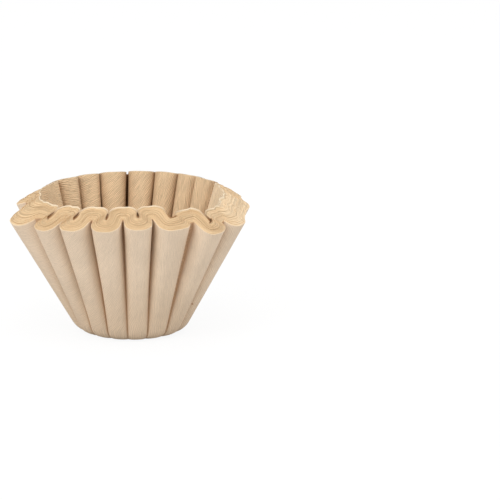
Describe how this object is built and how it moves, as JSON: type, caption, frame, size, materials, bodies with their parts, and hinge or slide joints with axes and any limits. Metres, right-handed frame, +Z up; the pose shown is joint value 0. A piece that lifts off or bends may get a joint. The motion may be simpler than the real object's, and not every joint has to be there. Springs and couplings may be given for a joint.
{
  "type": "nest of paper coffee filters",
  "caption": "Nest of fluted flat-bottomed paper coffee filters, pressed together, with a thick bevelled rim and an open hollow inside.",
  "frame": {"origin": "centre of the round underside, which stands on the table", "axes": "+Z up through the open top, -Y towards the viewer, +X to the right"},
  "size_m": [0.1075, 0.1068, 0.065],
  "materials": {
    "paper": "unbleached paper, matt, with a fine grain"
  },
  "bodies": {
    "root": {"filter_nest": "paper"}
  },
  "joints": []
}
